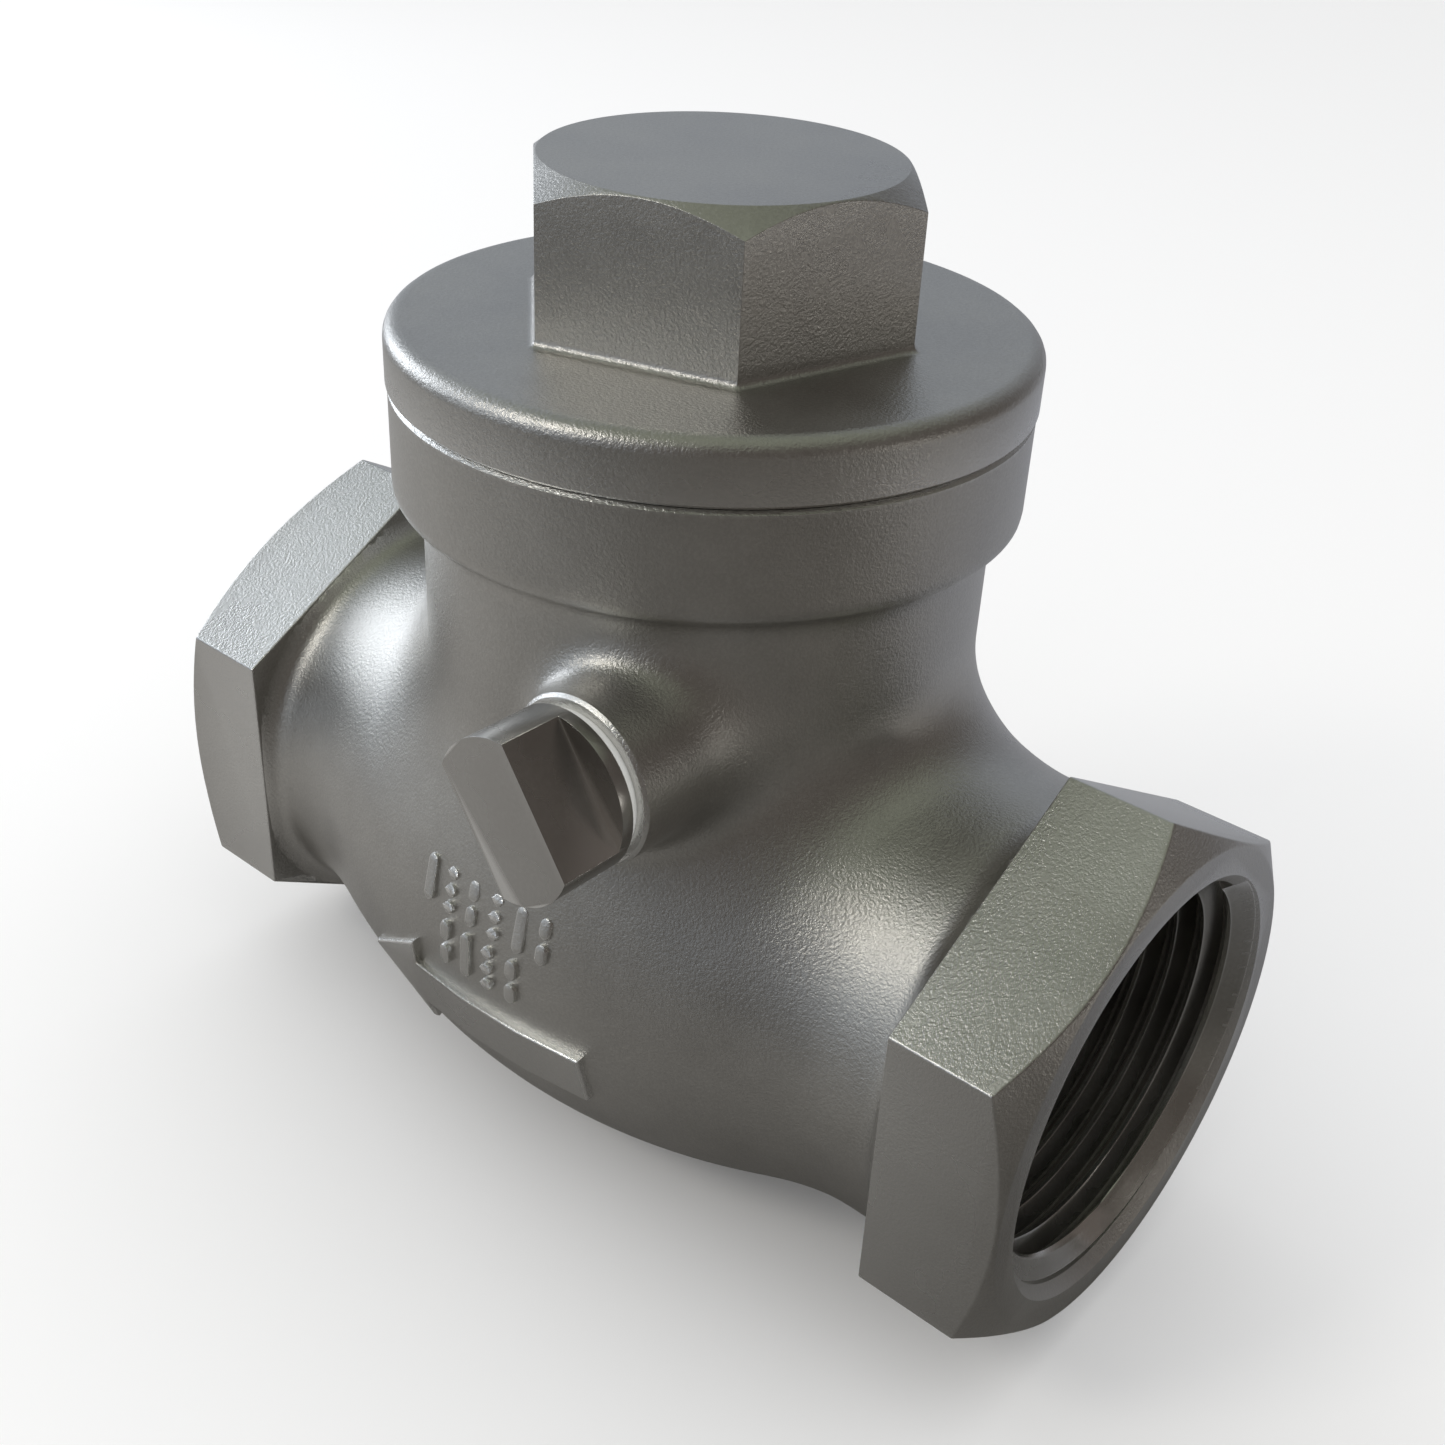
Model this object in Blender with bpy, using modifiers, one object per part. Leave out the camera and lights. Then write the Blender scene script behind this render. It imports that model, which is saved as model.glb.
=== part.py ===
"""Swing check valve with threaded ends, one inch nominal bore, as separate named parts.

Frame: X runs along the pipe with the inlet end at +X, Z is up through the neck and the screwed cap,
and the hinge pin is parallel to Y with its plug on the -Y side. The origin is at the middle of the
small flat that the valve stands on, under the neck. Sizes are in metres, and a size named for a Z is
its height above the pipe's axis. Threads are plain cylinders here.
"""

import math

import bmesh
import bpy
from mathutils import Matrix

MM = 0.001

# Driving sizes of the casting
FACE_TO_FACE = 90.0 * MM
END_HEX_AF = 40.0 * MM
END_HEX_LENGTH = 10.4 * MM
END_CHAMFER_SLOPE = 0.62
BARREL_R = 24.9 * MM
BARREL_CENTRE_X = -1.5 * MM
BARREL_CURVE = 8.2  # fall of the barrel's radius, per metre squared of distance from its centre
BARREL_END_R = 18.9 * MM
WALL = 3.0 * MM
AXIS_HEIGHT = 24.2 * MM  # of the pipe's axis above the flat that the valve stands on
NECK_R = 22.1 * MM
COLLAR_R = 24.3 * MM
COLLAR_BASE_Z = 34.5 * MM
COLLAR_TOP_Z = 43.1 * MM

# Ports and seat
PORT_R = 15.15 * MM  # the crest radius of a one inch pipe thread
PORT_MOUTH_R = 16.9 * MM
PORT_DEPTH = 16.0 * MM
PASSAGE_R = 12.5 * MM
SEAT_X = 12.0 * MM
SEAT_R = 15.2 * MM
SEAT_HEIGHT = 1.2 * MM
BOWL_END_X = -27.0 * MM

# Chamber and cap
CHAMBER_R = 18.3 * MM
CHAMBER_FLOOR_Z = 2.0 * MM
SEAT_WALL_TOP_Z = 17.5 * MM
CAP_THREAD_R = 19.2 * MM
CAP_THREAD_END_Z = 34.0 * MM
CAP_BORE_R = 15.2 * MM
CAP_FLANGE_R = 24.45 * MM
CAP_TOP_Z = 48.0 * MM
CAP_HEX_AF = 26.8 * MM
CAP_HEX_TOP_Z = 59.6 * MM
CAP_CHAMFER_SLOPE = 0.77
CAP_HEX_ANGLE = math.radians(46.0)  # where the screwed cap's corners come to rest
GASKET_RECESS_R = 22.3 * MM
GASKET_THICKNESS = 1.5 * MM

# Hinge pin, its boss and its plug
PIN_X = 10.4 * MM
PIN_Z = 23.0 * MM
PIN_R = 2.5 * MM
PIN_BLIND_END_Y = 16.4 * MM
BOSS_R = 6.5 * MM
BOSS_FACE_Y = -24.7 * MM
LUG_R = 4.6 * MM
LUG_INNER_Y = 10.1 * MM
PLUG_THREAD_R = 4.7 * MM
PLUG_INNER_Y = -18.2 * MM
PLUG_HEAD_R = 6.2 * MM
PLUG_SHOULDER = 0.7 * MM
PLUG_END_Y = -32.0 * MM
PLUG_FLATS = 7.3 * MM
PLUG_FLATS_ANGLE = math.radians(-35.0)
PLUG_GASKET_THICKNESS = 0.7 * MM

# Swing arm, disc and the parts on the disc's stud
ARM_HUB_R = 4.0 * MM
ARM_HUB_HALF_WIDTH = 9.5 * MM
ARM_WEB_WIDTH = 9.0 * MM
ARM_BACK_X = 5.0 * MM
ARM_FRONT_X = 8.3 * MM
ARM_BOSS_R = 6.5 * MM
DISC_R = 15.0 * MM
DISC_FRONT_X = 11.7 * MM
DISC_BACK_X = 8.7 * MM
STUD_R = 2.4 * MM
STUD_END_X = -0.6 * MM
WASHER_R = 5.0 * MM
WASHER_THICKNESS = 0.8 * MM
NUT_AF = 8.6 * MM
NUT_HEX_HEIGHT = 2.9 * MM
NUT_CROWN_R = 3.9 * MM
NUT_CROWN_HEIGHT = 1.5 * MM
NUT_SLOT_WIDTH = 1.6 * MM
SPLIT_PIN_R = 0.5 * MM
SPLIT_PIN_REACH = 5.4 * MM

# Gaps between parts
FLAT_GAP = 0.15 * MM
FIT_GAP = 0.3 * MM  # round a thread
RUN_GAP = 0.1 * MM  # round a pin that turns
CUT_PAST = 2.0 * MM  # how far a cutter runs past the face it opens

CUTTER_SEAM = math.radians(2.6)
ROUND_STEPS = 56
SMALL_STEPS = 32
MERGE = 0.00001

STEEL_CAST = ((0.46, 0.45, 0.44, 1.0), 0.42, 1.0)
STEEL_MACHINED = ((0.60, 0.59, 0.57, 1.0), 0.22, 1.0)
PTFE = ((0.88, 0.88, 0.86, 1.0), 0.55, 0.0)

CENTRE = (0.0, 0.0, AXIS_HEIGHT)  # where the pipe's axis crosses the neck's
PIN_CENTRE = (PIN_X, 0.0, AXIS_HEIGHT + PIN_Z)

X_AXIS, Y_AXIS, Z_AXIS = "X", "Y", "Z"
TURN = {
    X_AXIS: Matrix.Rotation(math.radians(90.0), 4, "Y"),
    Y_AXIS: Matrix.Rotation(math.radians(-90.0), 4, "X"),
    Z_AXIS: Matrix.Identity(4),
}


def new_collection(name):
    collection = bpy.data.collections.new(name)
    bpy.context.scene.collection.children.link(collection)
    return collection


def material(name, finish):
    colour, roughness, metallic = finish
    made = bpy.data.materials.new(name)
    made.use_nodes = True
    shader = made.node_tree.nodes["Principled BSDF"]
    shader.inputs["Base Color"].default_value = colour
    shader.inputs["Roughness"].default_value = roughness
    shader.inputs["Metallic"].default_value = metallic
    return made


def new_object(name, mesh, collection):
    made = bpy.data.objects.new(name, mesh)
    collection.objects.link(made)
    return made


def turned(name, profile, axis, place, collection, steps=ROUND_STEPS, ring=False, seam=0.0):
    """A solid of revolution. The profile's (radius, height) points run down its outer side, and a
    ring's profile closes on itself instead of meeting the axis. The seam is the angle of the
    first edge, which a cutter shifts so that its edges miss those of the solid that it cuts."""
    mesh = bpy.data.meshes.new(name)
    if not ring:
        profile = [(0.0, profile[0][1])] + profile if profile[0][0] > 0 else profile
        profile = profile + [(0.0, profile[-1][1])] if profile[-1][0] > 0 else profile
    count = len(profile)
    edges = [(i, (i + 1) % count) for i in range(count if ring else count - 1)]
    mesh.from_pydata([(radius, 0.0, height) for radius, height in profile], edges, [])
    made = new_object(name, mesh, collection)
    screw = made.modifiers.new("turn", "SCREW")
    screw.axis = "Z"
    screw.steps = steps
    screw.render_steps = steps
    screw.use_merge_vertices = True
    screw.merge_threshold = MERGE
    screw.use_smooth_shade = True
    made.matrix_world = Matrix.Translation(place) @ TURN[axis] @ Matrix.Rotation(seam, 4, "Z")
    return made


def rod(name, radius, low, high, axis, place, collection, steps=SMALL_STEPS, seam=0.0):
    """A plain cylinder between two heights along its axis."""
    profile = [(radius, high), (radius, low)]
    return turned(name, profile, axis, place, collection, steps, seam=seam)


def hex_prism(name, across_flats, low, high, axis, place, corner_angle, collection):
    """A hexagonal bar along an axis, with one corner turned by corner_angle about it."""
    mesh = bpy.data.meshes.new(name)
    corner_r = across_flats / math.sqrt(3.0)
    shape = bmesh.new()
    bmesh.ops.create_cone(
        shape, cap_ends=True, segments=6, radius1=corner_r, radius2=corner_r, depth=high - low
    )
    middle = Matrix.Translation((0.0, 0.0, (low + high) / 2.0))
    # create_cone puts its first corner on +Y
    spin = Matrix.Rotation(corner_angle - math.radians(90.0), 4, "Z")
    bmesh.ops.transform(shape, matrix=TURN[axis] @ spin @ middle, verts=shape.verts)
    shape.to_mesh(mesh)
    shape.free()
    made = new_object(name, mesh, collection)
    made.location = place
    return made


def block(name, low, high, collection, place=CENTRE):
    """A box between two corners, which are measured from its place."""
    mesh = bpy.data.meshes.new(name)
    shape = bmesh.new()
    bmesh.ops.create_cube(shape, size=1.0)
    size = [h - l for l, h in zip(low, high)]
    middle = [(h + l) / 2.0 for l, h in zip(low, high)]
    bmesh.ops.scale(shape, vec=size, verts=shape.verts)
    bmesh.ops.translate(shape, vec=middle, verts=shape.verts)
    shape.to_mesh(mesh)
    shape.free()
    made = new_object(name, mesh, collection)
    made.location = place
    return made


def combine(target, other, operation):
    """Joins or cuts target with other, which then stays as a hidden helper."""
    boolean = target.modifiers.new(other.name, "BOOLEAN")
    boolean.operation = operation
    boolean.solver = "EXACT"
    boolean.object = other
    other.hide_render = True
    other.display_type = "WIRE"


def finish(made, look):
    made.data.materials.clear()
    made.data.materials.append(look)
    return made


def barrel_radius(x):
    return max(BARREL_END_R, BARREL_R - BARREL_CURVE * (x - BARREL_CENTRE_X) ** 2)


def barrel_profile(low_x, high_x, inset, count):
    """Points of the barrel's side from its high end to its low end, set inwards by inset."""
    stops = [high_x + (low_x - high_x) * i / count for i in range(count + 1)]
    return [(barrel_radius(x) - inset, x) for x in stops]


def end_hex(name, side, parts):
    """One threaded end's hexagon, with its outer corners turned down to a cone."""
    face = FACE_TO_FACE / 2.0
    low, high = face - END_HEX_LENGTH, face
    if side < 0:
        low, high = -high, -low
    made = hex_prism(name, END_HEX_AF, low, high, X_AXIS, CENTRE, 0.0, parts)
    corner_r = END_HEX_AF / math.sqrt(3.0) + CUT_PAST
    flat_r = END_HEX_AF / 2.0 - 0.2 * MM
    fall = (corner_r - flat_r) * END_CHAMFER_SLOPE
    outline = [(flat_r, face), (corner_r, face - fall), (corner_r, face - 2 * END_HEX_LENGTH)]
    if side < 0:
        outline = [(radius, -x) for radius, x in reversed(outline)]
    cone = turned(name + "_chamfer", outline, X_AXIS, CENTRE, parts)
    combine(made, cone, "INTERSECT")
    return made


def make_valve_body(parts, helpers, look):
    """The casting: a barrel along the pipe, a neck with a collar, two hexagonal ends and a boss for
    the pin's plug."""
    face = FACE_TO_FACE / 2.0
    inner_face = face - END_HEX_LENGTH / 2.0
    body = turned(
        "valve_body", barrel_profile(-inner_face, inner_face, 0.0, 16), X_AXIS, CENTRE, parts
    )
    neck = turned(
        "neck_and_collar",
        [
            (COLLAR_R, COLLAR_TOP_Z),
            (COLLAR_R, COLLAR_BASE_Z),
            (NECK_R, COLLAR_BASE_Z - 0.6 * MM),
            (NECK_R, 0.0),
        ],
        Z_AXIS,
        CENTRE,
        helpers,
    )
    combine(body, neck, "UNION")
    for name, side in (("inlet_hex", 1), ("outlet_hex", -1)):
        combine(body, end_hex(name, side, helpers), "UNION")
    boss = rod("pin_boss", BOSS_R, BOSS_FACE_Y, -12.0 * MM, Y_AXIS, PIN_CENTRE, helpers)
    combine(body, boss, "UNION")

    floor = block(
        "standing_flat", (-BARREL_R, -BARREL_R, -AXIS_HEIGHT - BARREL_R),
        (BARREL_R, BARREL_R, -AXIS_HEIGHT), helpers,
    )
    combine(body, floor, "DIFFERENCE")

    # The bowl that the disc swings in, with the seat standing proud of its inlet wall
    seat_back = SEAT_X + SEAT_HEIGHT
    bowl = turned(
        "bowl_cutter",
        [(SEAT_R, SEAT_X), (SEAT_R, seat_back), (SEAT_R + 2.0 * MM, seat_back)]
        + barrel_profile(BOWL_END_X, seat_back - 2.0 * MM, WALL, 12),
        X_AXIS,
        CENTRE,
        helpers,
        seam=CUTTER_SEAM,
    )
    combine(body, bowl, "DIFFERENCE")
    thread_r = CAP_THREAD_R + FIT_GAP
    neck_bore = turned(
        "neck_bore_cutter",
        [
            (GASKET_RECESS_R, COLLAR_TOP_Z + CUT_PAST),
            (GASKET_RECESS_R, COLLAR_TOP_Z - GASKET_THICKNESS),
            (thread_r, COLLAR_TOP_Z - GASKET_THICKNESS),
            (thread_r, CAP_THREAD_END_Z - 1.0 * MM),
            (CHAMBER_R, CAP_THREAD_END_Z - 2.2 * MM),
            (CHAMBER_R, CHAMBER_FLOOR_Z),
        ],
        Z_AXIS,
        CENTRE,
        helpers,
        seam=CUTTER_SEAM,
    )
    reach = 2.0 * CHAMBER_R
    seat_wall = block(
        "seat_wall", (SEAT_X - 0.2 * MM, -reach, -reach), (reach, reach, SEAT_WALL_TOP_Z), helpers
    )
    combine(neck_bore, seat_wall, "DIFFERENCE")
    combine(body, neck_bore, "DIFFERENCE")

    # Two lugs for the pin, which reach from the arm's hub into the middle of the neck's wall
    for name, low, high in (
        ("front_lug", -NECK_R, -LUG_INNER_Y), ("back_lug", LUG_INNER_Y, NECK_R)
    ):
        lug = rod(name, LUG_R, low, high, Y_AXIS, PIN_CENTRE, helpers)
        trim = rod(
            name + "_trim", (CHAMBER_R + NECK_R) / 2.0, PIN_Z - 2.0 * LUG_R, PIN_Z + 2.0 * LUG_R,
            Z_AXIS, CENTRE, helpers, ROUND_STEPS, seam=CUTTER_SEAM,
        )
        combine(lug, trim, "INTERSECT")
        combine(body, lug, "UNION")

    # Both ports: thread length with a coned mouth, then the plain passage
    chamfer = PORT_MOUTH_R - PORT_R
    thread_end = face - PORT_DEPTH
    for name, side, far in (
        ("inlet_cutter", 1, SEAT_X - CUT_PAST),
        ("outlet_cutter", -1, BOWL_END_X + CUT_PAST),
    ):
        outline = [
            (PORT_MOUTH_R + CUT_PAST, face + CUT_PAST),
            (PORT_R, face - chamfer),
            (PORT_R, thread_end),
            (PASSAGE_R, thread_end - 1.0 * MM),
            (PASSAGE_R, far * side),
        ]
        if side < 0:
            outline = [(radius, -x) for radius, x in reversed(outline)]
        port = turned(name, outline, X_AXIS, CENTRE, helpers, seam=2.0 * CUTTER_SEAM)
        combine(body, port, "DIFFERENCE")

    pin_hole_r = PIN_R + RUN_GAP
    plug_hole_r = PLUG_THREAD_R + FIT_GAP
    pin_hole = turned(
        "pin_hole_cutter",
        [
            (pin_hole_r, PIN_BLIND_END_Y),
            (pin_hole_r, PLUG_INNER_Y + 1.0 * MM),
            (plug_hole_r, PLUG_INNER_Y + 0.5 * MM),
            (plug_hole_r, BOSS_FACE_Y - CUT_PAST),
        ],
        Y_AXIS,
        PIN_CENTRE,
        helpers,
        SMALL_STEPS,
        seam=CUTTER_SEAM,
    )
    combine(body, pin_hole, "DIFFERENCE")
    return finish(body, look)


def make_cap(parts, helpers, look):
    """The screwed cap: a hexagon on a round flange, with a hollow threaded spigot below."""
    base = COLLAR_TOP_Z + FLAT_GAP
    rounding = 1.4 * MM
    steps = 4
    edge = [
        (
            CAP_FLANGE_R - rounding + rounding * math.sin(math.radians(90.0 * i / steps)),
            CAP_TOP_Z - rounding + rounding * math.cos(math.radians(90.0 * i / steps)),
        )
        for i in range(steps + 1)
    ]
    cap = turned(
        "cap",
        edge
        + [
            (CAP_FLANGE_R, base),
            (CAP_THREAD_R, base),
            (CAP_THREAD_R, CAP_THREAD_END_Z + 0.8 * MM),
            (CAP_THREAD_R - 0.8 * MM, CAP_THREAD_END_Z),
            (CAP_BORE_R, CAP_THREAD_END_Z),
            (CAP_BORE_R, base),
            (CAP_BORE_R - 2.0 * MM, base + 1.2 * MM),
            (0.0, base + 1.2 * MM),
        ],
        Z_AXIS,
        CENTRE,
        parts,
    )
    head = hex_prism(
        "cap_hex", CAP_HEX_AF, CAP_TOP_Z - 1.0 * MM, CAP_HEX_TOP_Z, Z_AXIS, CENTRE,
        CAP_HEX_ANGLE - math.radians(90.0), helpers,
    )
    flat_r = CAP_HEX_AF / 2.0
    far_r = flat_r + 5.0 * MM
    fall = (far_r - flat_r) * CAP_CHAMFER_SLOPE
    cone = turned(
        "cap_hex_chamfer",
        [(flat_r, CAP_HEX_TOP_Z), (far_r, CAP_HEX_TOP_Z - fall), (far_r, CAP_TOP_Z - CUT_PAST)],
        Z_AXIS,
        CENTRE,
        helpers,
    )
    combine(head, cone, "INTERSECT")
    combine(cap, head, "UNION")
    return finish(cap, look)


def make_ring(name, inner_r, outer_r, low, high, axis, place, parts, look, steps=SMALL_STEPS):
    """A flat ring such as a gasket or a washer."""
    outline = [(outer_r, high), (outer_r, low), (inner_r, low), (inner_r, high)]
    return finish(turned(name, outline, axis, place, parts, steps, ring=True), look)


def make_hinge_pin(parts, look):
    """The plain pin that the arm hangs on, with broken edges at both ends."""
    low = PLUG_INNER_Y + FLAT_GAP + 0.2 * MM
    high = PIN_BLIND_END_Y - FIT_GAP
    edge = 0.4 * MM
    outline = [
        (PIN_R - edge, high),
        (PIN_R, high - edge),
        (PIN_R, low + edge),
        (PIN_R - edge, low),
    ]
    return finish(
        turned("hinge_pin", outline, Y_AXIS, PIN_CENTRE, parts, SMALL_STEPS), look
    )


def plug_shoulder_y():
    return BOSS_FACE_Y - PLUG_GASKET_THICKNESS - 2.0 * FLAT_GAP


def make_pin_plug(parts, helpers, look):
    """The plug that closes the pin's hole: a thread, a round shoulder and a head with two flats."""
    shoulder = plug_shoulder_y()
    edge = 0.5 * MM
    plug = turned(
        "pin_plug",
        [
            (PLUG_THREAD_R - edge, PLUG_INNER_Y),
            (PLUG_THREAD_R, PLUG_INNER_Y - edge),
            (PLUG_THREAD_R, shoulder),
            (PLUG_HEAD_R, shoulder),
            (PLUG_HEAD_R, PLUG_END_Y + edge),
            (PLUG_HEAD_R - edge, PLUG_END_Y),
        ],
        Y_AXIS,
        PIN_CENTRE,
        parts,
        SMALL_STEPS,
    )
    flats_top = shoulder - PLUG_SHOULDER
    for name, side in (("upper_flat", 1), ("lower_flat", -1)):
        low = (PLUG_FLATS / 2.0, PLUG_END_Y - CUT_PAST, -2.0 * PLUG_HEAD_R)
        high = (2.0 * PLUG_HEAD_R, flats_top, 2.0 * PLUG_HEAD_R)
        cutter = block(name, low, high, helpers)
        turn = Matrix.Rotation(PLUG_FLATS_ANGLE + (math.pi if side < 0 else 0.0), 4, "Y")
        cutter.matrix_world = Matrix.Translation(PIN_CENTRE) @ turn
        combine(plug, cutter, "DIFFERENCE")
    return finish(plug, look)


def make_swing_arm(parts, helpers, look):
    """The arm: a hub on the hinge pin, a web down behind the disc and an eye for the disc's stud."""
    arm = rod(
        "swing_arm", ARM_HUB_R, -ARM_HUB_HALF_WIDTH, ARM_HUB_HALF_WIDTH, Y_AXIS, PIN_CENTRE, parts
    )
    half = ARM_WEB_WIDTH / 2.0
    web = block(
        "arm_web", (ARM_BACK_X + 0.4 * MM, -half, STUD_R + 1.3 * MM),
        (ARM_FRONT_X - 0.3 * MM, half, PIN_Z + 0.9 * MM), helpers,
    )
    eye = turned(
        "arm_eye",
        [
            (ARM_BOSS_R - 0.5 * MM, ARM_FRONT_X),
            (ARM_BOSS_R, ARM_FRONT_X - 0.5 * MM),
            (ARM_BOSS_R, ARM_BACK_X + 0.5 * MM),
            (ARM_BOSS_R - 0.5 * MM, ARM_BACK_X),
        ],
        X_AXIS,
        CENTRE,
        helpers,
        SMALL_STEPS,
    )
    past = CUT_PAST
    hub_hole = rod(
        "arm_hub_cutter", PIN_R + RUN_GAP, -ARM_HUB_HALF_WIDTH - past, ARM_HUB_HALF_WIDTH + past,
        Y_AXIS, PIN_CENTRE, helpers, seam=CUTTER_SEAM,
    )
    eye_hole = rod(
        "arm_eye_cutter", STUD_R + RUN_GAP, ARM_BACK_X - past, ARM_FRONT_X + past, X_AXIS, CENTRE,
        helpers, seam=CUTTER_SEAM,
    )
    combine(arm, web, "UNION")
    combine(arm, eye, "UNION")
    combine(arm, hub_hole, "DIFFERENCE")
    combine(arm, eye_hole, "DIFFERENCE")
    return finish(arm, look)


def make_disc(parts, helpers, look):
    """The clapper disc: a seating land round a shallow dish, and a stud behind."""
    land_inner_r = 11.5 * MM
    dish = 0.8 * MM
    edge = 0.4 * MM
    disc = turned(
        "disc",
        [
            (0.0, DISC_FRONT_X - dish),
            (land_inner_r - dish, DISC_FRONT_X - dish),
            (land_inner_r, DISC_FRONT_X),
            (DISC_R - edge, DISC_FRONT_X),
            (DISC_R, DISC_FRONT_X - edge),
            (DISC_R, DISC_BACK_X + 1.0 * MM),
            (DISC_R - 2.5 * MM, DISC_BACK_X),
            (STUD_R, DISC_BACK_X),
            (STUD_R, STUD_END_X + edge),
            (STUD_R - edge, STUD_END_X),
        ],
        X_AXIS,
        CENTRE,
        parts,
        ROUND_STEPS,
    )
    hole = rod(
        "stud_hole_cutter", SPLIT_PIN_R + 0.2 * MM, -STUD_R - CUT_PAST, STUD_R + CUT_PAST, Z_AXIS,
        (split_pin_x(), 0.0, AXIS_HEIGHT), helpers, 16,
    )
    combine(disc, hole, "DIFFERENCE")
    return finish(disc, look)


def washer_span():
    high = ARM_BACK_X - FLAT_GAP
    return high - WASHER_THICKNESS, high


def nut_span():
    high = washer_span()[0] - FLAT_GAP
    return high - NUT_HEX_HEIGHT - NUT_CROWN_HEIGHT, high


def split_pin_x():
    return nut_span()[0] + NUT_CROWN_HEIGHT / 2.0


def make_disc_nut(parts, helpers, look):
    """A slotted crown nut: a hexagon with a round crown cut by three cross slots."""
    low, high = nut_span()
    crown_face = low + NUT_CROWN_HEIGHT
    nut = hex_prism("disc_nut", NUT_AF, crown_face, high, X_AXIS, CENTRE, 0.0, parts)
    crown = rod("nut_crown", NUT_CROWN_R, low, crown_face + 0.5 * MM, X_AXIS, CENTRE, helpers)
    combine(nut, crown, "UNION")
    bore = rod(
        "nut_bore_cutter", STUD_R + FIT_GAP, low - CUT_PAST, high + CUT_PAST, X_AXIS, CENTRE,
        helpers, seam=CUTTER_SEAM,
    )
    combine(nut, bore, "DIFFERENCE")
    half = NUT_SLOT_WIDTH / 2.0
    for index in range(3):
        slot = block(
            f"nut_slot_{index}", (low - CUT_PAST, -half, -2.0 * NUT_AF),
            (crown_face - 0.1 * MM, half, 2.0 * NUT_AF), helpers,
        )
        slot.rotation_euler = (math.radians(60.0 * index), 0.0, 0.0)
        combine(nut, slot, "DIFFERENCE")
    return finish(nut, look)


def make_split_pin(parts, look):
    """The split pin that locks the nut, with its eye at the top and its legs, made as one, bent over."""
    x = split_pin_x()
    curve = bpy.data.curves.new("disc_split_pin", "CURVE")
    curve.dimensions = "3D"
    curve.bevel_depth = SPLIT_PIN_R
    curve.bevel_resolution = 2
    curve.use_fill_caps = True
    eye_r = 0.9 * MM
    top = NUT_CROWN_R + eye_r
    points = [
        (0.0, eye_r * math.sin(a), top + eye_r * math.cos(a))
        for a in (math.radians(40.0 + 35.0 * i) for i in range(5))
    ]
    bend = 1.2 * MM
    points += [
        (0.0, 0.0, top - eye_r - 0.5 * MM),
        (0.0, 0.0, bend - SPLIT_PIN_REACH),
        (0.0, -0.3 * bend, 0.4 * bend - SPLIT_PIN_REACH),
        (0.0, -bend, -SPLIT_PIN_REACH),
    ]
    spline = curve.splines.new("POLY")
    spline.points.add(len(points) - 1)
    for target, point in zip(spline.points, points):
        target.co = (*point, 1.0)
    made = new_object("disc_split_pin", curve, parts)
    made.location = (x, 0.0, AXIS_HEIGHT)
    made.data.materials.append(look)
    return made


def main():
    for old in list(bpy.data.objects):
        bpy.data.objects.remove(old)
    parts = new_collection("swing_check_valve")
    helpers = new_collection("cutters")
    cast = material("cast_stainless", STEEL_CAST)
    machined = material("machined_stainless", STEEL_MACHINED)
    ptfe = material("ptfe", PTFE)

    make_valve_body(parts, helpers, cast)
    make_cap(parts, helpers, cast)
    make_ring(
        "cap_gasket", CAP_THREAD_R + FIT_GAP, GASKET_RECESS_R - FIT_GAP,
        COLLAR_TOP_Z - GASKET_THICKNESS + FLAT_GAP, COLLAR_TOP_Z, Z_AXIS, CENTRE, parts, ptfe,
        ROUND_STEPS,
    )
    make_hinge_pin(parts, machined)
    make_pin_plug(parts, helpers, machined)
    make_ring(
        "pin_plug_gasket", PLUG_THREAD_R + FIT_GAP, PLUG_HEAD_R - 0.2 * MM,
        BOSS_FACE_Y - FLAT_GAP - PLUG_GASKET_THICKNESS, BOSS_FACE_Y - FLAT_GAP, Y_AXIS,
        PIN_CENTRE, parts, ptfe,
    )
    make_swing_arm(parts, helpers, cast)
    make_disc(parts, helpers, machined)
    low, high = washer_span()
    make_ring(
        "disc_washer", STUD_R + FIT_GAP, WASHER_R, low, high, X_AXIS, CENTRE, parts, machined
    )
    make_disc_nut(parts, helpers, machined)
    make_split_pin(parts, machined)


main()
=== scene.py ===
"""One inch swing check valve with threaded ends, in bead-blasted cast stainless steel.

The sections follow the valve as it is put together: the casting and its threads, the hinge pin, the
swing arm with its disc, the screwed cap, the pin's plug, and last the floor, lights and camera.
X runs along the pipe with the inlet at +X, Z is up, and the plug is on the -Y side. All is in metres.
"""

import math

import bmesh
import bpy
import numpy as np
from mathutils import Matrix, Vector


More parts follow.
